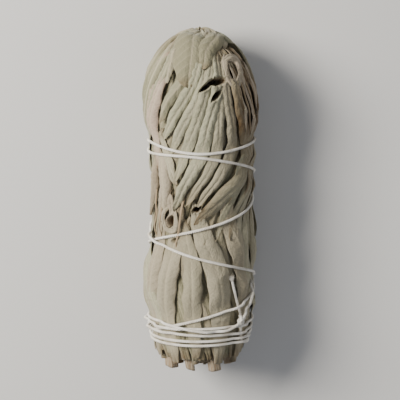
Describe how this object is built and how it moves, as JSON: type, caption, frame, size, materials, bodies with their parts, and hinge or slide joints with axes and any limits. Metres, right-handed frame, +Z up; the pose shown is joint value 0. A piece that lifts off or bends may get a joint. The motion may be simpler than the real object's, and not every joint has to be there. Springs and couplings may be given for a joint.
{
  "type": "dried sage bunch",
  "caption": "Bunch of dried sage sprigs, leaves folded over at the top, bound with a criss-cross cotton thread and lying on its side.",
  "frame": {"origin": "on the surface the bunch lies on, under the middle of its box", "axes": "+Y along the bunch from the cut ends to the folded-over top, +Z up from the surface"},
  "size_m": [0.0344, 0.1022, 0.0327],
  "materials": {
    "sage_leaf": "dried leaf, matte and finely woolly",
    "sage_stem": "dried woody stem, matte",
    "cotton_thread": "twisted undyed cotton, matte"
  },
  "bodies": {
    "root": {"sprig_1": "sage_leaf", "sprig_2": "sage_leaf", "sprig_3": "sage_leaf", "sprig_4": "sage_leaf", "sprig_5": "sage_leaf", "sprig_6": "sage_leaf", "sprig_7": "sage_leaf", "sprig_8": "sage_leaf", "sprig_middle": "sage_leaf", "thread": "cotton_thread"}
  },
  "joints": []
}
